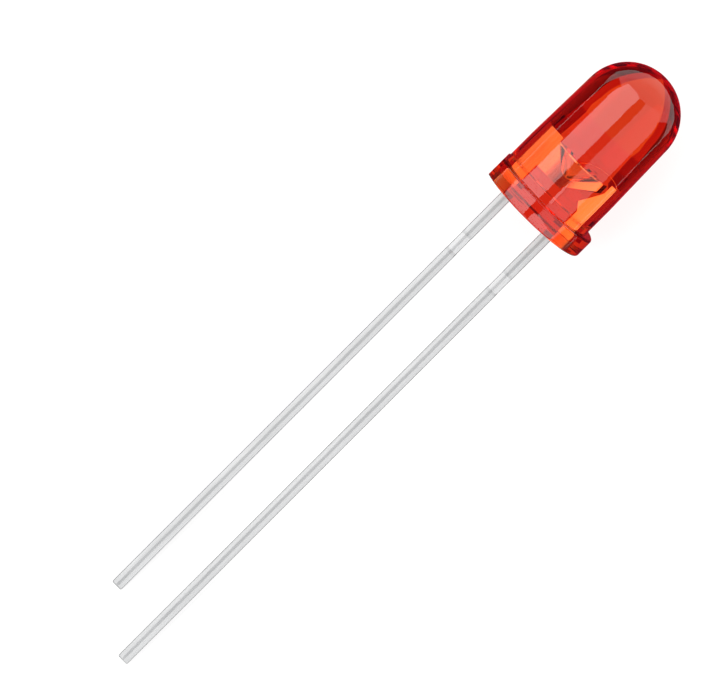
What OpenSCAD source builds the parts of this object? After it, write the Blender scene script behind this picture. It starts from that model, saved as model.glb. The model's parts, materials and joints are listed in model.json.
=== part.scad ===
// Through hole LED with a round, clear red 5 mm lens and two long uncut leads, in millimetres.
//
// The LED lies on a flat surface as it comes to rest, on the lower edge of its flange and on both
// lead tips. +Z is up, +X points to the dome, +Y is the cathode's side, and the origin is on the
// surface under the middle of the part.
//
// Each piece is drawn in the LED's own frame and then laid down by lie(). In that frame z is the
// lens's axis, with the flange's underside at 0 and the leads below it, x points to the cathode
// and y is the normal of the plane that both leads lie in.

/* [Lens] */
// Diameter of the flange
flange_d = 5.7; // [5.65:0.05:6.2]
// Height of the flange
flange_h = 1; // [0.8:0.05:1.4]
// Depth of the flat that marks the cathode, from the flange's rim
flat_cut = 0.33; // [0.1:0.01:0.35]
// Rounding of the flange's two rims
edge_r = 0.12; // [0.05:0.01:0.2]
// Diameter of the barrel above the flange
barrel_d = 4.9; // [4.8:0.01:5]
// Rounding of the corner between the flange and the barrel
root_r = 0.05; // [0.03:0.01:0.15]
// Height of the barrel's straight stretch, above that rounding
land_h = 1.5; // [1:0.1:2]
// Height of the barrel's tapered stretch
taper_h = 3.61; // [3:0.01:4.5]
// Diameter of the dome, and of the barrel where they meet
dome_d = 4.73; // [4.6:0.01:4.8]

/* [Leads] */
// Distance between the two leads' centres
pitch = 2.54; // [2.4:0.01:2.7]
// Width of a lead
lead_w = 0.55; // [0.45:0.01:0.6]
// Thickness of the sheet that both leads are stamped from
sheet_t = 0.5; // [0.4:0.01:0.55]
// How far a lead's two broad faces bulge in their middle
crown = 0.03; // [0.02:0.005:0.05]
// Length of the cathode's lead, which is the short one
cathode_l = 25.2; // [20:0.1:30]
// How much longer the anode's lead is
anode_more = 2.2; // [1:0.1:3]
// Distance from the flange to the stretch where the tie bar was trimmed off
tie_z = 2.8; // [2:0.05:4]
// Length of the trimmed stretch
tie_l = 0.95; // [0.8:0.01:1.5]
// How much the trimming took off each face there
tie_cut = 0.01; // [0.01:0.005:0.04]

/* [Cathode in the lens] */
// Height above the flange's underside at which both leads become flat sheet
sheet_z = 0.35; // [0.2:0.05:0.6]
// Width of the cathode's shank in the lens
shank_w = 0.64; // [0.58:0.01:0.7]
// Height of the anvil's lower edge
anvil_z = 1.8; // [1.6:0.01:1.9]
// Height of the anvil's top edge and of the cup's rim
rim_z = 3.25; // [3.2:0.01:3.4]
// How far the shank's ear stands above the rim
ear_h = 0.23; // [0.1:0.01:0.3]
// How far the anvil's foot reaches past the lens's axis
foot_x = 0.13; // [0.05:0.01:0.2]
// Height of the foot's upright end
foot_h = 0.14; // [0.1:0.01:0.3]
// Height of the nose's upright end, below the rim
nose_h = 0.43; // [0.3:0.01:0.5]
// Gap between the nose and the anode's post
nose_gap = 0.24; // [0.2:0.01:0.35]

/* [Cup] */
// Outer diameter of the cup's head
cup_d = 1.8; // [1.6:0.01:1.8]
// Height of the head's straight side
cup_h = 0.06; // [0.05:0.01:0.1]
// Height at which the head begins to stand out from the sheet
cup_foot_z = 2.3; // [2.2:0.01:2.4]
// Wall of the cup at its rim
cup_wall = 0.25; // [0.2:0.01:0.3]
// Diameter of the cup's floor
floor_d = 0.62; // [0.58:0.01:0.7]
// Depth of the cup
cup_depth = 0.4; // [0.35:0.01:0.45]

/* [Anode in the lens] */
// Height of the anode's post
post_z = 3.49; // [3.4:0.01:3.6]
// Width of the post at its top
post_w = 0.29; // [0.25:0.01:0.35]
// Height at which the post's narrow top begins
neck_z = 3; // [2.9:0.01:3.1]
// Height at which the post's barb begins to stand out
barb_foot_z = 1.58; // [1.5:0.01:1.7]
// Height of the barb's point
barb_z = 1.97; // [1.9:0.01:2.1]
// How far the barb stands out from the lead's inner side
barb_out = 0.22; // [0.15:0.01:0.25]

/* [Chip and wire] */
// Side of the square chip
chip_w = 0.28; // [0.24:0.01:0.32]
// Height of the chip
chip_h = 0.25; // [0.2:0.01:0.3]
// Thickness of the adhesive under the chip
glue_t = 0.03; // [0.02:0.005:0.04]
// How far the adhesive climbs the chip's sides
glue_climb = 0.04; // [0.02:0.01:0.06]
// Diameter of the adhesive's spread
glue_d = 0.5; // [0.46:0.01:0.54]
// Diameter of the bond wire
wire_d = 0.03; // [0.025:0.005:0.04]
// Diameter of the wire's ball and of its stitch
ball_d = 0.09; // [0.08:0.01:0.12]
// Height of the ball
ball_h = 0.05; // [0.04:0.01:0.06]
// How high the wire's loop stands over the straight line between its ends
wire_loop = 0.35; // [0.25:0.01:0.45]

/* [Hidden] */
$fn = 96;

epoxy_red = [0.87, 0.13, 0.1, 0.55];
tin = [0.82, 0.83, 0.84];
die_grey = [0.35, 0.33, 0.36];
glue_silver = [0.75, 0.75, 0.74];
gold = [0.95, 0.75, 0.3];

over = 0.1; // how far a cutting shape runs past what it cuts

// Lens
flange_r = flange_d / 2;
barrel_r = barrel_d / 2;
dome_r = dome_d / 2;
flat_x = flange_r - flat_cut;
land_z = flange_h + root_r;
taper_z = land_z + land_h;
dome_z = taper_z + taper_h;

// Leads
anode_l = cathode_l + anode_more;
lead_x = pitch / 2;
lead_out_x = lead_x + lead_w / 2;
lead_in_x = lead_x - lead_w / 2;
crown_r = (pow(lead_w / 2, 2) + crown * crown) / (2 * crown);
shank_in_x = lead_out_x - shank_w;
post_in_x = lead_out_x - post_w;
nose_x = post_in_x - nose_gap;

// Chip and wire
cup_floor_z = rim_z - cup_depth;
chip_z = cup_floor_z + glue_t;
ball_z = chip_z + chip_h;

// The wire is an arc in x and z, from inside its ball to inside its stitch on the post.
wire_from = [0, ball_z + ball_h / 2];
wire_to = [post_w / 2 - lead_out_x, post_z + wire_d / 2];
span = wire_to - wire_from;
loop_r = (pow(norm(span) / 2, 2) + wire_loop * wire_loop) / (2 * wire_loop);
loop_c = (wire_from + wire_to) / 2 - [span[1], -span[0]] / norm(span) * (loop_r - wire_loop);
loop_start = atan2(wire_from[1] - loop_c[1], wire_from[0] - loop_c[0]);
loop_turn = 2 * asin(norm(span) / 2 / loop_r);

// Rest. The surface's upward normal, in the LED's frame, runs along [-lean, steep, 1]. The lean
// brings both tips down to the surface, and the steepness brings the flange's edge down to it.
lean = anode_more / pitch;

// How far a lead's section reaches from its centre, roll degrees away from its broad face.
function lead_reach(roll) =
    roll < asin(lead_w / 2 / crown_r)
        ? crown_r - (crown_r - sheet_t / 2) * cos(roll)
        : lead_w / 2 * sin(roll) + (sheet_t / 2 - crown) * cos(roll);

// How much lower the flange reaches than the tips, for a steepness. It rises with it.
function flange_drop(steep) =
    let (s = norm([lean, steep]))
    (flange_r - edge_r) * s + edge_r * (norm([s, 1]) - 1)
        - cathode_l - lean * lead_x - s * lead_reach(atan2(lean, steep));

// The steepness between lo and hi where that is nothing, by halving the span n times.
function find_steep(lo, hi, n) =
    let (mid = (lo + hi) / 2)
    n == 0 ? mid : flange_drop(mid) > 0 ? find_steep(lo, mid, n - 1) : find_steep(mid, hi, n - 1);

function unit(v) = v / norm(v);

// The row's Z, X and Y directions, in the LED's frame. Y stays square to the lens's axis.
up = unit([-lean, find_steep(1, 100, 40), 1]);
ahead = unit([0, 0, 1] - up * up[2]);
side = cross(up, ahead);

// How far the part reaches down, to the dome, to the tips, to the flat and away from the flat.
low = up[2] * edge_r - (flange_r - edge_r) * norm([up[0], up[1]]) - edge_r;
front = ahead[2] * dome_z + dome_r;
back = -ahead[0] * lead_out_x - ahead[2] * anode_l - abs(ahead[1]) * (sheet_t / 2 - crown);
left = side[0] * flat_x + side[1] * sqrt(pow(flange_r, 2) - pow(flat_x, 2));
right = -flange_r;

// Lays a piece down on the surface, with the part's middle over the origin.
module lie() {
    multmatrix([
        [ahead[0], ahead[1], ahead[2], -(front + back) / 2],
        [side[0], side[1], side[2], -(left + right) / 2],
        [up[0], up[1], up[2], -low],
        [0, 0, 0, 1]
    ]) children();
}

// Stands an outline drawn in x and z upright, t thick, with its middle in the leads' plane.
module sheet(t) {
    rotate([90, 0, 0]) linear_extrude(t, center = true) children();
}

// Outline of half the flange, with both rims rounded.
module flange_half() {
    square([flange_r - edge_r, flange_h]);
    translate([0, edge_r]) square([flange_r, flange_h - 2 * edge_r]);
    for (z = [edge_r, flange_h - edge_r]) translate([flange_r - edge_r, z]) circle(edge_r);
}

// Outline of half the barrel, down to its rounded root on the flange.
module barrel_half() {
    polygon([[0, 0], [barrel_r, 0], [barrel_r, taper_z], [dome_r, dome_z], [0, dome_z]]);
    difference() {
        translate([0, edge_r]) square([barrel_r + root_r, land_z - edge_r]);
        translate([barrel_r + root_r, land_z]) circle(root_r);
    }
}

module dome_half() {
    translate([0, dome_z]) intersection() {
        circle(dome_r);
        square(dome_r);
    }
}

// Section of a lead, with its broad faces crowned, less what is trimmed off each face.
module lead_section(trim) {
    intersection() {
        square([lead_w - 2 * trim, sheet_t - 2 * trim], center = true);
        translate([0, crown_r - sheet_t / 2 + trim]) circle(crown_r);
        translate([0, sheet_t / 2 - trim - crown_r]) circle(crown_r);
    }
}

// The part of a lead that is wire, from its cut end up into the flange: plain, trimmed, plain.
module wire_lead(x, length) {
    tie_low = -tie_z - tie_l;
    for (run = [[-length, tie_low, 0], [tie_low, -tie_z, tie_cut], [-tie_z, sheet_z, 0]])
        translate([x, 0, run[0]]) linear_extrude(run[1] - run[0]) lead_section(run[2]);
}

// The cathode's flat sheet: the shank with its ear, and the anvil that carries the cup.
module anvil_sheet() {
    sheet(sheet_t) polygon([
        [lead_out_x, sheet_z],
        [lead_out_x, rim_z + ear_h],
        [shank_in_x, rim_z + ear_h],
        [shank_in_x, rim_z],
        [-nose_x, rim_z],
        [-nose_x, rim_z - nose_h],
        [-foot_x, anvil_z + foot_h],
        [-foot_x, anvil_z],
        [shank_in_x, anvil_z],
        [shank_in_x, sheet_z]
    ]);
}

// Head of the cup, which narrows down into the anvil's sheet.
module cup_head() {
    side_z = rim_z - cup_h;
    translate([0, 0, side_z]) cylinder(h = cup_h, d = cup_d);
    translate([0, 0, cup_foot_z]) cylinder(h = side_z - cup_foot_z, d1 = sheet_t, d2 = cup_d);
}

module cup_recess() {
    mouth_d = cup_d - 2 * cup_wall;
    flare = (mouth_d - floor_d) / cup_depth; // how much wider it gets for each unit of height
    translate([0, 0, cup_floor_z])
        cylinder(h = cup_depth + over, d1 = floor_d, d2 = mouth_d + flare * over);
}

module cathode_shape() {
    difference() {
        union() {
            wire_lead(lead_x, cathode_l);
            anvil_sheet();
            cup_head();
        }
        cup_recess();
    }
}

module anode_shape() {
    wire_lead(-lead_x, anode_l);
    sheet(sheet_t) polygon([
        [-lead_out_x, sheet_z],
        [-lead_in_x, sheet_z],
        [-lead_in_x, barb_foot_z],
        [-lead_in_x + barb_out, barb_z],
        [-post_in_x, neck_z],
        [-post_in_x, post_z],
        [-lead_out_x, post_z]
    ]);
}

module chip_shape() {
    translate([-chip_w / 2, -chip_w / 2, chip_z]) cube([chip_w, chip_w, chip_h]);
}

module adhesive_shape() {
    difference() {
        translate([0, 0, cup_floor_z])
            cylinder(h = glue_t + glue_climb, d1 = glue_d, d2 = chip_w * sqrt(2));
        chip_shape();
    }
}

module wire_shape() {
    translate([0, 0, ball_z]) cylinder(h = ball_h, d = ball_d);
    translate([wire_to[0], 0, post_z]) cylinder(h = wire_d, d = ball_d);
    translate([loop_c[0], 0, loop_c[1]])
        rotate([90, 0, 0])
            rotate([0, 0, loop_start])
                rotate_extrude(angle = loop_turn) translate([loop_r, 0]) circle(d = wire_d);
}

module lens() {
    color(epoxy_red) lie() difference() {
        rotate_extrude() {
            flange_half();
            barrel_half();
            dome_half();
        }
        translate([flat_x, -flange_r, -over]) cube([flange_r, flange_d, flange_h + over]);
        cathode_shape();
        anode_shape();
        chip_shape();
        adhesive_shape();
        wire_shape();
    }
}

module cathode_lead() {
    color(tin) lie() cathode_shape();
}

module anode_lead() {
    color(tin) lie() anode_shape();
}

module led_chip() {
    color(die_grey) lie() chip_shape();
}

module chip_adhesive() {
    color(glue_silver) lie() adhesive_shape();
}

module bond_wire() {
    color(gold) lie() wire_shape();
}

lens();
cathode_lead();
anode_lead();
led_chip();
chip_adhesive();
bond_wire();
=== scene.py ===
"""Looks of a through hole LED with a clear red 5 mm lens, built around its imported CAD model.

The object is drawn in the LED's own frame, in metres: z is the lens's axis, with the flange's
underside at 0 and the leads below it, x points to the cathode, and y is the normal of the plane
that both leads lie in. LED_FRAME takes that frame to where the part lies in the row's frame.
"""

import json
import math

import bmesh
import bpy
from mathutils import Matrix, Vector

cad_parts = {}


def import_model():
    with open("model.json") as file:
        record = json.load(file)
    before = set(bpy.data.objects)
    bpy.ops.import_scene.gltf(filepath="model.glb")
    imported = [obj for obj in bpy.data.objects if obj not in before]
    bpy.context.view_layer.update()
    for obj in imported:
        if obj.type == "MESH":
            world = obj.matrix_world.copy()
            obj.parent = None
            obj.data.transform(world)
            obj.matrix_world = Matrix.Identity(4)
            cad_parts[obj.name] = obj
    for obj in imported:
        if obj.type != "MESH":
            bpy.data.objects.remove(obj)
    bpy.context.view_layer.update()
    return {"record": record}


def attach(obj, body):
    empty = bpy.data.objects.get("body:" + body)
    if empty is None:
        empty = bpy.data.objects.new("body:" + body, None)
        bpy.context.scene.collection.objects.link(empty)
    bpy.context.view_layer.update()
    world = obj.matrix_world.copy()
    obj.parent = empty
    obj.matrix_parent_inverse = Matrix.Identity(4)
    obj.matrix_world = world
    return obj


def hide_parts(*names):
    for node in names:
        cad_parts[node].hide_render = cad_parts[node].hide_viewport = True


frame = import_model()

MM = 0.001
TAU = 2 * math.pi

# ---------------------------------------------------------------- the LED's frame
mounts = {m["name"]: m for m in frame["record"]["mounts"]}
seat = Vector(mounts["board_seat"]["pos_m"])
dome_way = -Vector(mounts["board_seat"]["axis"])
cathode_entry, anode_entry = (
    Vector(mounts[name]["pos_m"]) for name in ("cathode_lead_entry", "anode_lead_entry")
)
cathode_way = (cathode_entry - anode_entry).normalized()
LED_FRAME = Matrix((cathode_way, dome_way.cross(cathode_way), dome_way)).transposed().to_4x4()
LED_FRAME.translation = seat

# ---------------------------------------------------------------- sizes, as in the CAD model
PITCH = (cathode_entry - anode_entry).length
LEAD_X = PITCH / 2

FLANGE_R = 2.85 * MM
FLANGE_H = 1 * MM
FLAT_X = FLANGE_R - 0.33 * MM
RIM_ROUND = 0.12 * MM
BARREL_R = 2.45 * MM
ROOT_ROUND = 0.05 * MM
LAND_Z = FLANGE_H + ROOT_ROUND
TAPER_Z = LAND_Z + 1.5 * MM
DOME_Z = TAPER_Z + 3.61 * MM
DOME_R = 2.365 * MM

LEAD_W = 0.55 * MM
SHEET_T = 0.5 * MM
CROWN = 0.03 * MM
CATHODE_L = 25.2 * MM
ANODE_L = CATHODE_L + 2.2 * MM
TIE_Z = 2.8 * MM
TIE_L = 0.95 * MM
TIE_CUT = 0.01 * MM

SHEET_Z = 0.35 * MM
SHANK_W = 0.64 * MM
ANVIL_Z = 1.8 * MM
RIM_Z = 3.25 * MM
EAR_Z = RIM_Z + 0.23 * MM
FOOT_X = 0.13 * MM
FOOT_H = 0.14 * MM
NOSE_H = 0.43 * MM
POST_W = 0.29 * MM
POST_Z = 3.49 * MM
NECK_Z = 3 * MM
BARB_FOOT_Z = 1.58 * MM
BARB_Z = 1.97 * MM
BARB_OUT = 0.22 * MM

CUP_R = 0.9 * MM
CUP_H = 0.06 * MM
CUP_FOOT_Z = 2.3 * MM
CUP_WALL = 0.25 * MM
CUP_FLOOR_R = 0.31 * MM
CUP_DEPTH = 0.4 * MM

CHIP_W = 0.28 * MM
CHIP_H = 0.25 * MM
GLUE_T = 0.03 * MM
GLUE_CLIMB = 0.04 * MM
GLUE_R = 0.25 * MM
WIRE_D = 0.03 * MM
BALL_D = 0.09 * MM
BALL_H = 0.05 * MM
WIRE_LOOP = 0.35 * MM

LEAD_OUT_X = LEAD_X + LEAD_W / 2
LEAD_IN_X = LEAD_X - LEAD_W / 2
SHANK_IN_X = LEAD_OUT_X - SHANK_W
POST_IN_X = LEAD_OUT_X - POST_W
NOSE_X = POST_IN_X - 0.24 * MM
CUP_FLOOR_Z = RIM_Z - CUP_DEPTH
CHIP_Z = CUP_FLOOR_Z + GLUE_T

# ---------------------------------------------------------------- the camera's side of the frame
CAMERA_LEAN = math.radians(8.9)  # towards the dome, from the normal of the leads' plane
to_camera = Vector((0, math.cos(CAMERA_LEAN), math.sin(CAMERA_LEAN)))
to_cathode = Vector((1, 0, 0))
to_dome = to_cathode.cross(to_camera)


# ================================================================ materials
NOISE_LOW, NOISE_HIGH = 0.3, 0.7  # between these lies nearly all of a noise texture
ROUGH_SPREAD = 0.05  # how far a roughness varies to each side


class Nodes:
    """The node tree of a material or world, with short calls to add and link nodes."""

    def __init__(self, owner, output):
        owner.use_nodes = True
        self.owner = owner
        self.tree = owner.node_tree
        self.tree.nodes.clear()
        self.out = self.add(output)

    def add(self, kind, **inputs):
        node = self.tree.nodes.new(kind)
        for name, value in inputs.items():
            self.fill(node.inputs[name.replace("_", " ")], value)
        return node

    def fill(self, socket, value):
        """Links the socket to another one, or gives it a value of its own."""
        if isinstance(value, bpy.types.NodeSocket):
            self.tree.links.new(value, socket)
        else:
            socket.default_value = value

    def math(self, operation, a, b):
        node = self.add("ShaderNodeMath")
        node.operation = operation
        for socket, value in zip(node.inputs, (a, b)):
            self.fill(socket, value)
        return node.outputs[0]

    def noise(self, stretch, scale):
        """Noise in the LED's frame, in metres, stretched along its axes."""
        place = self.add("ShaderNodeTexCoord").outputs["Object"]
        led = self.add(
            "ShaderNodeMapping", Vector=place, Rotation=LED_FRAME.inverted().to_euler()
        )
        mapped = self.add("ShaderNodeMapping", Vector=led.outputs[0], Scale=stretch)
        texture = self.add("ShaderNodeTexNoise", Vector=mapped.outputs[0], Scale=scale, Detail=4.0)
        return texture.outputs["Fac"]

    def remap(self, noise, low, high):
        """Spreads a noise's usual range from low to high."""
        limits = {"From_Min": NOISE_LOW, "From_Max": NOISE_HIGH, "To_Min": low, "To_Max": high}
        return self.add("ShaderNodeMapRange", Value=noise, **limits).outputs[0]

    def blend(self, factor, first, second):
        node = self.add("ShaderNodeMix", Factor=factor)
        node.data_type = "RGBA"
        colours = {"A_Color": first, "B_Color": second}
        for socket in node.inputs:
            if socket.identifier in colours:
                socket.default_value = (*colours[socket.identifier], 1)
        return next(o for o in node.outputs if o.type == "RGBA")

    def bump(self, height, distance):
        node = self.add("ShaderNodeBump", Height=height, Distance=distance, Strength=1.0)
        return node.outputs[0]

    def finish(self, shader):
        self.tree.links.new(shader, self.out.inputs["Surface"])
        return self.owner


def new_material(name):
    return Nodes(bpy.data.materials.new(name), "ShaderNodeOutputMaterial")


def clear_red_epoxy():
    """Dyed clear epoxy: glass-like, with the dye's colour taken from the depth."""
    m = new_material("clear_red_epoxy")
    mottle = m.noise((1, 1, 1), 900)
    body = m.add(
        "ShaderNodeBsdfPrincipled",
        Base_Color=(1, 1, 1, 1),
        Roughness=m.remap(mottle, 0.0, 0.02),
        IOR=1.54,
        Transmission_Weight=1.0,
        Specular_IOR_Level=0.62,
    )
    dye = m.add("ShaderNodeVolumeAbsorption", Color=(0.97, 0.44, 0.05, 1), Density=1000.0)
    m.tree.links.new(dye.outputs[0], m.out.inputs["Volume"])
    return m.finish(body.outputs[0])


def plated_steel(name, light, dark, rough, skin):
    """Satin plate with fine streaks along the lead, under a smooth skin that reflects a little."""
    m = new_material(name)
    streaks = m.noise((1, 1, 0.03), 12000)
    clouds = m.noise((1, 1, 0.3), 1200)
    body = m.add(
        "ShaderNodeBsdfPrincipled",
        Base_Color=m.blend(m.remap(clouds, 0, 1), dark, light),
        Metallic=1.0,
        Roughness=m.remap(streaks, rough - ROUGH_SPREAD, rough + ROUGH_SPREAD),
        Normal=m.bump(streaks, 0.0004 * MM),
        Coat_Weight=skin,
        Coat_Roughness=0.08,
        Coat_IOR=1.8,
    )
    return m.finish(body.outputs[0])


def plain(name, colour, rough, metallic=0.0, grain=0.06, scale=20000):
    """One colour and roughness, both with a fine grain."""
    m = new_material(name)
    speck = m.noise((1, 1, 1), scale)
    dark, light = ([c * k for c in colour] for k in (1 - grain, 1 + grain))
    body = m.add(
        "ShaderNodeBsdfPrincipled",
        Base_Color=m.blend(m.remap(speck, 0, 1), dark, light),
        Metallic=metallic,
        Roughness=m.remap(speck, rough - ROUGH_SPREAD, rough + ROUGH_SPREAD),
    )
    return m.finish(body.outputs[0])


# ================================================================ mesh helpers
# Least angles between faces that don't shade as one, in degrees. The leads' is less than the steps
# of a rounded edge, so that the sheet stays flat.
SHARP, LENS_SHARP, LEAD_SHARP = 25, 30, 20
POLE_R = 1e-6 * MM


def new_piece(name, bm, materials, nodes, sharp=SHARP):
    """Makes a shown piece of a bmesh in the LED's frame, and lays it where the part lies."""
    bmesh.ops.recalc_face_normals(bm, faces=bm.faces)
    bmesh.ops.transform(bm, matrix=LED_FRAME, verts=bm.verts)
    mesh = bpy.data.meshes.new(name)
    bm.to_mesh(mesh)
    bm.free()
    mesh.shade_smooth()
    mesh.set_sharp_from_angle(angle=math.radians(sharp))
    for m in materials:
        mesh.materials.append(m)
    piece = bpy.data.objects.new(name, mesh)
    bpy.context.scene.collection.objects.link(piece)
    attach(piece, "root")
    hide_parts(*nodes)


def arc(centre, radius, start, end, steps):
    """Points of an arc, angles in degrees, both ends included."""
    for i in range(steps + 1):
        a = math.radians(start + (end - start) * i / steps)
        yield centre[0] + radius * math.cos(a), centre[1] + radius * math.sin(a)


def run(start, end, steps):
    """Points of a straight run, without its end."""
    for i in range(steps):
        k = i / steps
        yield start[0] + (end[0] - start[0]) * k, start[1] + (end[1] - start[1]) * k


def circle(steps):
    """Cosine and sine of evenly spread angles."""
    return [(math.cos(TAU * i / steps), math.sin(TAU * i / steps)) for i in range(steps)]


def lathe(bm, profile, steps=256):
    """Turns a profile of (radius, z) about z. A radius of nearly 0 is a pole."""
    rings = []
    for radius, z in profile:
        around = [(0, 0)] if radius < POLE_R else circle(steps)
        rings.append([bm.verts.new((radius * c, radius * s, z)) for c, s in around])
    for low, high in zip(rings, rings[1:]):
        for i in range(steps):
            j = (i + 1) % steps
            corners = ((low, i), (low, j), (high, j), (high, i))
            face = list(dict.fromkeys(ring[k % len(ring)] for ring, k in corners))
            if len(face) > 2:
                bm.faces.new(face)


def prism(bm, outline, low_y, high_y):
    """Extrudes an outline of (x, z) from low_y to high_y."""
    near = [bm.verts.new((x, low_y, z)) for x, z in outline]
    far = [bm.verts.new((x, high_y, z)) for x, z in outline]
    bm.faces.new(near)
    bm.faces.new(list(reversed(far)))
    for i in range(len(near)):
        j = (i + 1) % len(near)
        bm.faces.new((near[j], near[i], far[i], far[j]))


def loft(bm, rings):
    """Skins closed rings of the same number of points, and caps both ends."""
    rings = [[bm.verts.new(p) for p in ring] for ring in rings]
    for low, high in zip(rings, rings[1:]):
        for i in range(len(low)):
            j = (i + 1) % len(low)
            bm.faces.new((low[i], low[j], high[j], high[i]))
    bm.faces.new(list(reversed(rings[0])))
    bm.faces.new(rings[-1])


def to_mesh(name, bm):
    """Turns a bmesh into a mesh, and frees it."""
    bmesh.ops.recalc_face_normals(bm, faces=bm.faces)
    mesh = bpy.data.meshes.new(name)
    bm.to_mesh(mesh)
    bm.free()
    return mesh


def carved(bm, tool):
    """The bmesh less the tool, as a new bmesh."""
    body = bpy.data.objects.new("carved", to_mesh("carved", bm))
    cutter = bpy.data.objects.new("cutter", to_mesh("cutter", tool))
    for o in (body, cutter):
        bpy.context.scene.collection.objects.link(o)
    cut = body.modifiers.new("cut", "BOOLEAN")
    cut.operation = "DIFFERENCE"
    cut.solver = "EXACT"
    cut.object = cutter
    graph = bpy.context.evaluated_depsgraph_get()
    result = bmesh.new()
    result.from_mesh(body.evaluated_get(graph).to_mesh())
    for o in (body, cutter):
        mesh = o.data
        bpy.data.objects.remove(o)
        bpy.data.meshes.remove(mesh)
    return result


# ================================================================ the lens
def lens():
    """The casting's outside, with the flat cut off the flange."""
    profile = [
        *run((0, 0), (FLANGE_R - RIM_ROUND, 0), 6),
        *arc((FLANGE_R - RIM_ROUND, RIM_ROUND), RIM_ROUND, -90, 0, 8),
        *arc((FLANGE_R - RIM_ROUND, FLANGE_H - RIM_ROUND), RIM_ROUND, 0, 90, 8),
        *arc((BARREL_R + ROOT_ROUND, LAND_Z), ROOT_ROUND, 270, 180, 8),
        *list(run((BARREL_R, LAND_Z), (BARREL_R, TAPER_Z), 8))[1:],
        *run((BARREL_R, TAPER_Z), (DOME_R, DOME_Z), 16),
        *arc((0, DOME_Z), DOME_R, 0, 90, 64),
    ]
    bm = bmesh.new()
    lathe(bm, profile)
    flat = bmesh.new()
    size = Vector((FLANGE_R, 3 * FLANGE_R, FLANGE_H + 1 * MM))
    middle = Vector((FLAT_X + size.x / 2, 0, FLANGE_H - size.z / 2))
    for v in bmesh.ops.create_cube(flat, size=1)["verts"]:
        v.co = v.co * size + middle
    epoxy = [clear_red_epoxy()]
    new_piece("lens_body", carved(bm, flat), epoxy, ["lens"], LENS_SHARP)


# ================================================================ the leads
CORNER = 0.05 * MM  # rounding of a lead's four long edges
CUT_ROUND = ((0, 0.035), (0.02, 0.012), (0.06, 0))  # height above the cut end and trim, in mm
ROLL_L = 0.14 * MM  # length of the rolled edge past each end of the trimmed stretch
ROLL_D = 0.003 * MM  # how deep that edge ends
SHEET_ROUND = 0.025 * MM  # rounding of the post's edges, and of the cup's
ANVIL_ROUND = 0.02 * MM  # the same on the anvil and the recess that the cup leaves in it
ROUNDED_FROM = 40  # least angle of an edge that is rounded, in degrees
CUP_STEPS = 96
OUTSIDE, SILVER, WIRE_SILVER, TRIMMED, ROLLED = range(5)  # places in a lead's list of materials


def lead_ring(x, z, trim):
    """Section of a lead, with crowned broad faces and rounded corners."""
    half_w, half_t = LEAD_W / 2 - trim, SHEET_T / 2 - trim

    def height(u):
        return half_t - CROWN * (u / half_w) ** 2

    flat_w = half_w - CORNER
    top = [(u, height(u)) for u in (flat_w * (1 - i / 6) for i in range(13))]
    corner = list(arc((flat_w, height(flat_w) - CORNER), CORNER, 0, 90, 5))[:-1]
    upper = [*corner, *top, *[(-u, y) for u, y in reversed(corner)]]
    lower = [(-u, -y) for u, y in upper]
    return [(x + u, y, z) for u, y in upper + lower]


def wire_rings(x, length):
    """The rings of a lead's wire, from its cut end to where it turns to flat sheet."""
    tie_low = -TIE_Z - TIE_L
    levels = [(-length + up * MM, trim * MM) for up, trim in CUT_ROUND]
    levels += list(run((-length, 0), (tie_low, 0), 20))[1:]
    for z, way in ((tie_low, 1), (-TIE_Z, -1)):
        marks = [
            (z - way * ROLL_L * 1.4, 0),  # holds the shading of the long faces beyond it
            (z - way * ROLL_L, 0),
            (z, ROLL_D),
            (z + way * ROLL_D, TIE_CUT),
            (z + way * ROLL_L / 2, TIE_CUT),
        ]
        levels += marks if way > 0 else reversed(marks)
    levels += [(0, 0), (SHEET_Z, 0)]
    return [lead_ring(x, z, trim) for z, trim in levels]


def wire_bmesh(x, length):
    """A lead's wire: silver where it runs in the lens, lighter where it was trimmed, and darker
    beside that as painted shade of the rolled edges' slope.
    """
    wire = bmesh.new()
    loft(wire, wire_rings(x, length))
    for face in wire.faces:
        z = face.calc_center_median().z
        past = abs(z + TIE_Z + TIE_L / 2) - TIE_L / 2  # how far it lies past the trimmed stretch
        if z > 0:
            face.material_index = WIRE_SILVER
        elif past < 0:
            face.material_index = TRIMMED
        # the rolled edge gets a darker tone: painted shade of its slope
        elif past < ROLL_L:
            face.material_index = ROLLED
        else:
            face.material_index = OUTSIDE
    return wire


def add_bmesh(target, source):
    """Adds one bmesh to another, and frees it."""
    mesh = to_mesh("part", source)
    target.from_mesh(mesh)
    bpy.data.meshes.remove(mesh)


def rounded(bm, width):
    """Rounds a bmesh's sharp edges."""
    bmesh.ops.recalc_face_normals(bm, faces=bm.faces)
    least = math.radians(ROUNDED_FROM)
    edges = [e for e in bm.edges if len(e.link_faces) == 2 and e.calc_face_angle(0) > least]
    bmesh.ops.bevel(
        bm, geom=edges, offset=width, segments=2, profile=0.5, affect="EDGES", clamp_overlap=True
    )
    return bm


def cup_profile():
    """Half outline of the cup's head: bowl, rim, side and the cone that runs into the sheet."""
    mouth_r = CUP_R - CUP_WALL
    return [
        (0, CUP_FLOOR_Z),
        (CUP_FLOOR_R, CUP_FLOOR_Z),
        (mouth_r, RIM_Z),
        (CUP_R, RIM_Z),
        (CUP_R, RIM_Z - CUP_H),
        (SHEET_T / 2, CUP_FOOT_Z),
        (0, CUP_FOOT_Z),
    ]


def silvered(bm):
    """Marks all faces as silver plate."""
    for face in bm.faces:
        face.material_index = SILVER
    return bm


def lead(name, sheet, wire, materials, node):
    """A lead of its flat sheet, which is silver plated, and its wire."""
    whole = silvered(sheet)
    add_bmesh(whole, wire)
    new_piece(name, whole, materials, [node], LEAD_SHARP)


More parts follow.
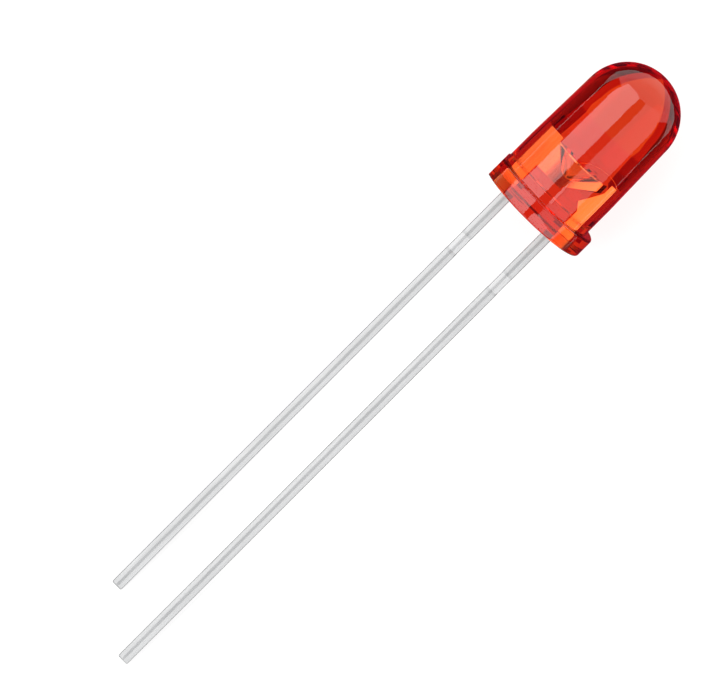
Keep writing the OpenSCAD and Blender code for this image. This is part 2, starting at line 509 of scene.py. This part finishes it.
def cathode_lead(materials):
    """The short lead, whose sheet carries the cup."""
    plate = bmesh.new()
    outline = [
        (LEAD_OUT_X, SHEET_Z),
        (LEAD_OUT_X, EAR_Z),
        (SHANK_IN_X, EAR_Z),
        (SHANK_IN_X, RIM_Z),
        (-NOSE_X, RIM_Z),
        (-NOSE_X, RIM_Z - NOSE_H),
        (-FOOT_X, ANVIL_Z + FOOT_H),
        (-FOOT_X, ANVIL_Z),
        (SHANK_IN_X, ANVIL_Z),
        (SHANK_IN_X, SHEET_Z),
    ]
    prism(plate, outline, -SHEET_T / 2, SHEET_T / 2)
    recess = bmesh.new()
    flare = (CUP_R - CUP_WALL - CUP_FLOOR_R) / CUP_DEPTH
    past = 0.1 * MM  # how far the tool reaches above the rim
    mouth = (CUP_R - CUP_WALL + flare * past, RIM_Z + past)
    lathe(recess, [(0, CUP_FLOOR_Z), (CUP_FLOOR_R, CUP_FLOOR_Z), mouth, (0, mouth[1])], CUP_STEPS)
    sheet = rounded(carved(plate, recess), ANVIL_ROUND)
    head = bmesh.new()
    lathe(head, cup_profile(), CUP_STEPS)
    add_bmesh(sheet, rounded(head, SHEET_ROUND))
    wire = wire_bmesh(LEAD_X, CATHODE_L)
    lead("cathode_lead_dressed", sheet, wire, materials, "cathode_lead")


def anode_lead(materials):
    """The long lead, whose sheet is the post that the bond wire ends on."""
    plate = bmesh.new()
    outline = [
        (-LEAD_OUT_X, SHEET_Z),
        (-LEAD_IN_X, SHEET_Z),
        (-LEAD_IN_X, BARB_FOOT_Z),
        (-LEAD_IN_X + BARB_OUT, BARB_Z),
        (-POST_IN_X, NECK_Z),
        (-POST_IN_X, POST_Z),
        (-LEAD_OUT_X, POST_Z),
    ]
    prism(plate, outline, -SHEET_T / 2, SHEET_T / 2)
    wire = wire_bmesh(-LEAD_X, ANODE_L)
    lead("anode_lead_dressed", rounded(plate, SHEET_ROUND), wire, materials, "anode_lead")


# ================================================================ the chip and its wire
CHIP_ROUND = 0.012 * MM
CHIP_TOP = CHIP_Z + CHIP_H


def chip():
    """The die, a square block."""
    bm = bmesh.new()
    half = CHIP_W / 2
    outline = [(-half, CHIP_Z), (half, CHIP_Z), (half, CHIP_TOP), (-half, CHIP_TOP)]
    prism(bm, outline, -half, half)
    crystal = [plain("semiconductor", (0.07, 0.06, 0.07), 0.2)]
    new_piece("led_die", rounded(bm, CHIP_ROUND), crystal, ["led_chip"])


def adhesive():
    """The adhesive's spread, which climbs the chip in a hollow fillet."""
    bm = bmesh.new()
    reach = CHIP_W / 2 * math.sqrt(2)
    top = CUP_FLOOR_Z + GLUE_T + GLUE_CLIMB
    fillet = [
        (reach + (GLUE_R - reach) * k, CUP_FLOOR_Z + (top - CUP_FLOOR_Z) * (1 - k) ** 2)
        for k in (i / 8 for i in range(9))
    ]
    lathe(bm, [(0, CUP_FLOOR_Z), *reversed(fillet), (0, top)], 64)
    paste = [plain("silver_adhesive", (0.48, 0.48, 0.46), 0.6, 0.3, grain=0.2, scale=60000)]
    new_piece("die_adhesive", bm, paste, ["chip_adhesive"])


def bond_wire():
    """The ball, the loop and the stitch. The loop is the CAD model's arc."""
    start = Vector((0, CHIP_TOP + BALL_H / 2))
    end = Vector((POST_W / 2 - LEAD_OUT_X, POST_Z + WIRE_D / 2))
    chord = end - start
    radius = ((chord.length / 2) ** 2 + WIRE_LOOP**2) / (2 * WIRE_LOOP)
    centre = (start + end) / 2 - Vector((chord.y, -chord.x)).normalized() * (radius - WIRE_LOOP)
    first = math.atan2(start.y - centre.y, start.x - centre.x)
    turn = 2 * math.asin(chord.length / 2 / radius)
    rings = []
    for i in range(65):
        a = first + turn * i / 64
        out = Vector((math.cos(a), 0, math.sin(a)))
        middle = Vector((centre.x, 0, centre.y)) + out * radius
        rings.append([middle + (out * c + Vector((0, s, 0))) * WIRE_D / 2 for c, s in circle(16)])
    bm = bmesh.new()
    loft(bm, rings)
    for x, z, height in ((0, CHIP_TOP, BALL_H), (end.x, POST_Z, WIRE_D)):
        bond = bmesh.new()
        side = [
            (BALL_D / 2 * math.sqrt(1 - (2 * k - 1) ** 4), z + height * k)
            for k in (i / 12 for i in range(1, 12))
        ]
        lathe(bond, [(0, z), *side, (0, z + height)], 32)
        bmesh.ops.translate(bond, vec=(x, 0, 0), verts=bond.verts)
        add_bmesh(bm, bond)
    gold = [plain("gold", (0.9, 0.6, 0.22), 0.25, 1.0)]
    new_piece("gold_wire", bm, gold, ["bond_wire"])


# ================================================================ the studio
# Angles are in degrees from the camera towards the cathode, or forward and back along the lens.
STUDIO = 120 * MM  # distance of the lamps from the lens
CENTRE = LED_FRAME @ Vector((0, 0, DOME_Z / 2))
LED_TURN = LED_FRAME.to_3x3()
RADIANCE_TO_WATTS = math.pi

FAR = 90 * MM  # distance of the gap's cards, and half their length
GAP = (-13, 7.5)  # angles of the gap between the softboxes
GAP_BACK = -5  # where the gap starts behind the lens
GAP_MIDDLE = 4.5  # where the gap's dark middle ends, as seen through the lens
STEP = 0.35  # share of the gap's length that lies behind the lens
CATHODE_END, ANODE_END = 61, 67  # where the softboxes end, and the walls begin
SOFT_BACK, SOFT_FORE = 50, 47  # how far the softboxes reach along the lens
SOFT_STEP = 17.9  # where the one on the anode's side grows brighter, behind the lens

FLOOR_CARD_Z = 0.003 * MM
WALL_OUT = 38  # distance of the walls from the dome's centre, in mm
WALL_BACK, WALL_FORE = -34, 24  # their ends, in mm
ROLL_DEG = 4.86  # how far the leads' plane is rolled as the part lies
DEEP_Y, FRINGE_Y, SHADE_Y = 0.42, 1.8, 8  # where the red shade deepens, lightens and ends, in mm
SPOT_Z = 5  # where the spot under the dome begins, in mm
SHADE_STEP = 0.05  # least width of the shade beside the line, in mm


def outward(deg):
    """Direction from the lens that stands deg from the camera, in the LED's frame."""
    a = math.radians(deg)
    return to_camera * math.cos(a) + to_cathode * math.sin(a)


def softbox(name, low_deg, high_deg, back_deg, fore_deg, radiance):
    """A lamp that faces the lens and covers these angles."""
    out = outward((low_deg + high_deg) / 2)
    back, fore = (STUDIO * math.tan(math.radians(d)) for d in (back_deg, fore_deg))
    width = 2 * STUDIO * math.tan(math.radians(abs(high_deg - low_deg) / 2))
    light = bpy.data.lights.new(name, "AREA")
    light.shape = "RECTANGLE"
    light.size, light.size_y = width, fore + back
    light.energy = radiance * width * (fore + back) * RADIANCE_TO_WATTS
    lamp = bpy.data.objects.new(name, light)
    pose = (LED_TURN @ Matrix((to_dome.cross(out), to_dome, out)).transposed()).to_4x4()
    pose.translation = CENTRE + LED_TURN @ (out * STUDIO + to_dome * (fore - back) / 2)
    lamp.matrix_world = pose
    lamp.visible_camera = False
    bpy.context.scene.collection.objects.link(lamp)


def glow(name, colour):
    m = new_material(name)
    return m.finish(m.add("ShaderNodeEmission", Color=(*colour, 1), Strength=1.0).outputs[0])


def card(name, corners, faces, materials, *rays):
    """A studio card of the row's frame, which only the named kinds of ray meet."""
    bm = bmesh.new()
    points = [bm.verts.new(p) for p in corners]
    for index, face in faces:
        bm.faces.new([points[i] for i in face]).material_index = index
    plate = bpy.data.objects.new(name, to_mesh(name, bm))
    for m in materials:
        plate.data.materials.append(m)
    bpy.context.scene.collection.objects.link(plate)
    for kind in ("camera", "diffuse", "glossy", "transmission", "volume_scatter", "shadow"):
        setattr(plate, "visible_" + kind, kind in rays)


ONE_FACE = [(0, (0, 1, 3, 2))]  # the face of a card with four corners, given side by side


def gap_corners(angles, back, fore):
    """Corners of a card between these angles, which runs from back to fore along the lens."""
    return [LED_FRAME @ (outward(deg) * FAR + to_dome * z) for deg in angles for z in (back, fore)]


def camera_flag():
    """The dark gap between the softboxes, around the camera."""
    step = FAR * (2 * STEP - 1)
    fore = gap_corners(GAP, step, FAR)
    card("gap_fore", fore, ONE_FACE, [glow("gap_fore", (0.2, 0.14, 0.14))], "glossy")
    back = gap_corners((GAP_BACK, GAP[1]), -FAR, step)
    card("gap_back", back, ONE_FACE, [glow("gap_back", (0.1, 0.1, 0.1))], "glossy")
    # through the lens the gap shows painted light: pink at its edges and a dim red in its middle
    corners = gap_corners((GAP[0], GAP_BACK, GAP_MIDDLE, GAP[1]), -FAR, FAR)
    faces = [(i % 2, (2 * i, 2 * i + 1, 2 * i + 3, 2 * i + 2)) for i in range(3)]
    tones = [glow("gap_edge", (0.8, 0.5, 0.5)), glow("gap_middle", (0.3, 0.02, 0.03))]
    card("camera_gap", corners, faces, tones, "transmission")


def side_flags():
    """Painted shade on the floor close to the lens, reddened around the lens as painted light that
    it casts, and a dark wall on each side of it.

    The lens's sides reflect them, with the bright floor between them as a fine line."""
    dome = LED_FRAME @ Vector((0, 0, DOME_Z))
    dark = glow("dark_card", (0.06, 0.06, 0.06))
    half = [(9.5, 4), (5.5, 9), (4.5, 28), (-7, 28), (WALL_BACK, 28)]  # from the dome, in mm
    outline = half + [(x, -y) for x, y in reversed(half)]
    corners = [Vector((dome.x + x * MM, dome.y + y * MM, FLOOR_CARD_Z)) for x, y in outline]
    # painted light: the red that the lens casts on the floor around it; the card's part further
    # back is painted shade
    cast = glow("painted_red_cast_light", (0.4, 0.02, 0.04))
    near, rest = (0, 1, 2, 3, 6, 7, 8, 9), (3, 4, 5, 6)
    card("painted_floor_shade", corners, [(0, near), (1, rest)], [cast, dark], "glossy")
    for name, way, end in (("cathode", 1, CATHODE_END), ("anode", -1, ANODE_END)):
        rise = math.tan(math.radians(90 - end - way * ROLL_DEG))
        corners = [
            Vector((dome.x + x * MM, dome.y + way * WALL_OUT * MM, z))
            for z in (FLOOR_CARD_Z, CENTRE.z + WALL_OUT * MM * rise)
            for x in (WALL_BACK, WALL_FORE)
        ]
        card("wall_" + name, corners, ONE_FACE, [dark], "glossy")


def foot(z):
    """Where the lens's axis at height z lands on the floor, as the camera sees it."""
    point = LED_FRAME @ Vector((0, 0, z))
    look = LED_TURN @ to_camera
    return point - look * ((point.z - FLOOR_CARD_Z) / look.z)


def under_glow():
    """The light on the floor under the lens: a bright line in a red shade, and a spot at the dome.

    Only looks that pass through the lens meet it. It is laid out along the main camera's line
    of sight, so it is right for that view alone."""
    line_tone, shade_tone, deep, fringe, spot, spot_edge = range(6)
    tones = [
        glow("glow_line", (0.82, 0.32, 0.3)),
        glow("glow_shade", (0.3, 0.004, 0.006)),
        glow("glow_deep_shade", (0.02, 0.001, 0.002)),
        glow("glow_fringe", (0.5, 0.03, 0.04)),
        glow("glow_spot", (0.82, 0.5, 0.3)),
        glow("glow_spot_edge", (0.5, 0.05, 0.04)),
    ]
    # height on the lens's axis, and half the width of the line there, in mm
    stations = [(-0.6, 0.9), (0.62, 0.9), (0.62, 0.28), (2.4, 0.26), (3.3, 0.11), (3.5, 0.05)]
    stations += [(4, 0.07), (4.6, 0.1), (5.1, 0.13), (5.5, 0.19), (8.2, 0.21)]
    corners, faces = [], []
    for i, (z, width) in enumerate(stations):
        half = (width, max(DEEP_Y, width + SHADE_STEP), FRINGE_Y, SHADE_Y)
        middle = foot(z * MM)
        across = (*(-y for y in reversed(half)), *half)
        corners += [middle + Vector((0, y * MM, 0)) for y in across]
        if i + 1 == len(stations):
            break  # no face starts from the last station
        line, shade = (spot, spot_edge) if z > SPOT_Z else (line_tone, shade_tone)
        for j, tone in enumerate((fringe, deep, shade, line, shade, deep, fringe)):
            k = 8 * i + j
            faces.append((tone, (k, k + 1, k + 9, k + 8)))
    card("under_glow", corners, faces, tones, "transmission")


def seen(nodes):
    """1 for the rays that look: from the camera, or by way of gloss or glass."""
    ray = nodes.add("ShaderNodeLightPath").outputs
    glass = nodes.math("MAXIMUM", ray["Is Glossy Ray"], ray["Is Transmission Ray"])
    return nodes.math("MAXIMUM", ray["Is Camera Ray"], glass)


FLOOR_GREY = 0.35
FLOOR_SHINE = 0.75
WORLD_FILL = 0.35  # light that the world gives, apart from how it looks


def floor():
    """White paper, made of what it reflects and of a shine that only looks meet."""
    m = new_material("white_floor")
    paper = m.add("ShaderNodeBsdfDiffuse", Color=(FLOOR_GREY, FLOOR_GREY, FLOOR_GREY, 1))
    shine = m.add("ShaderNodeEmission", Strength=m.math("MULTIPLY", seen(m), FLOOR_SHINE))
    both = m.add("ShaderNodeAddShader")
    m.tree.links.new(paper.outputs[0], both.inputs[0])
    m.tree.links.new(shine.outputs[0], both.inputs[1])
    bm = bmesh.new()
    bmesh.ops.create_grid(bm, x_segments=1, y_segments=1, size=2)
    plane = bpy.data.objects.new("floor", to_mesh("floor", bm))
    plane.data.materials.append(m.finish(both.outputs[0]))
    bpy.context.scene.collection.objects.link(plane)


def world():
    """White to look at, and weaker as a light."""
    n = Nodes(bpy.data.worlds.new("studio"), "ShaderNodeOutputWorld")
    fill = n.math("MAXIMUM", seen(n), WORLD_FILL)
    back = n.add("ShaderNodeBackground", Color=(1, 1, 1, 1), Strength=fill)
    bpy.context.scene.world = n.finish(back.outputs[0])


VIEW_WIDTH = 32.02 * MM  # what the frame shows across, at the leads' plane
AIM = Vector((1.354 * MM, 0, -9.644 * MM))  # what its middle shows, in the LED's frame


def camera():
    """Looks along to_camera with a long lens, and turns the dome to the upper right."""
    data = bpy.data.cameras.new("camera")
    data.lens, data.sensor_width = 1200, 36
    distance = VIEW_WIDTH * data.lens / data.sensor_width
    right = (to_dome - to_cathode).normalized()
    up = (to_dome + to_cathode).normalized()
    pose = (LED_TURN @ Matrix((right, up, to_camera)).transposed()).to_4x4()
    pose.translation = LED_FRAME @ (AIM + to_camera * distance)
    data.clip_start, data.clip_end = distance / 100, distance * 10
    eye = bpy.data.objects.new("camera", data)
    eye.matrix_world = pose
    bpy.context.scene.collection.objects.link(eye)
    bpy.context.scene.camera = eye


# ================================================================ everything
camera()
world()
floor()
softbox("softbox_cathode", GAP[1], CATHODE_END, SOFT_BACK, SOFT_FORE, 2.0)
softbox("softbox_anode", GAP[0], -ANODE_END, SOFT_STEP, SOFT_FORE, 0.36)
softbox("softbox_anode_back", GAP_BACK, -ANODE_END, SOFT_BACK, -SOFT_STEP, 1.85)
camera_flag()
side_flags()
under_glow()

lens()
plates = [  # in the order of OUTSIDE, SILVER, WIRE_SILVER, TRIMMED and ROLLED
    plated_steel("tinned_steel", (0.36, 0.364, 0.368), (0.326, 0.33, 0.334), 0.6, 1.0),
    plated_steel("silver_plate", (0.92, 0.9, 0.87), (0.86, 0.85, 0.82), 0.13, 0.0),
    plated_steel("dull_silver_plate", (0.66, 0.64, 0.61), (0.56, 0.55, 0.53), 0.32, 0.0),
    plated_steel("trimmed_steel", (0.405, 0.409, 0.413), (0.375, 0.379, 0.383), 0.6, 1.0),
    # darker than the tinned steel: painted shade of the rolled edge's slope
    plated_steel("rolled_edge_painted_shade", (0.312, 0.316, 0.32), (0.282, 0.286, 0.29), 0.6, 1.0),
]
cathode_lead(plates)
anode_lead(plates)
chip()
adhesive()
bond_wire()

bpy.context.scene.view_settings.view_transform = "Standard"
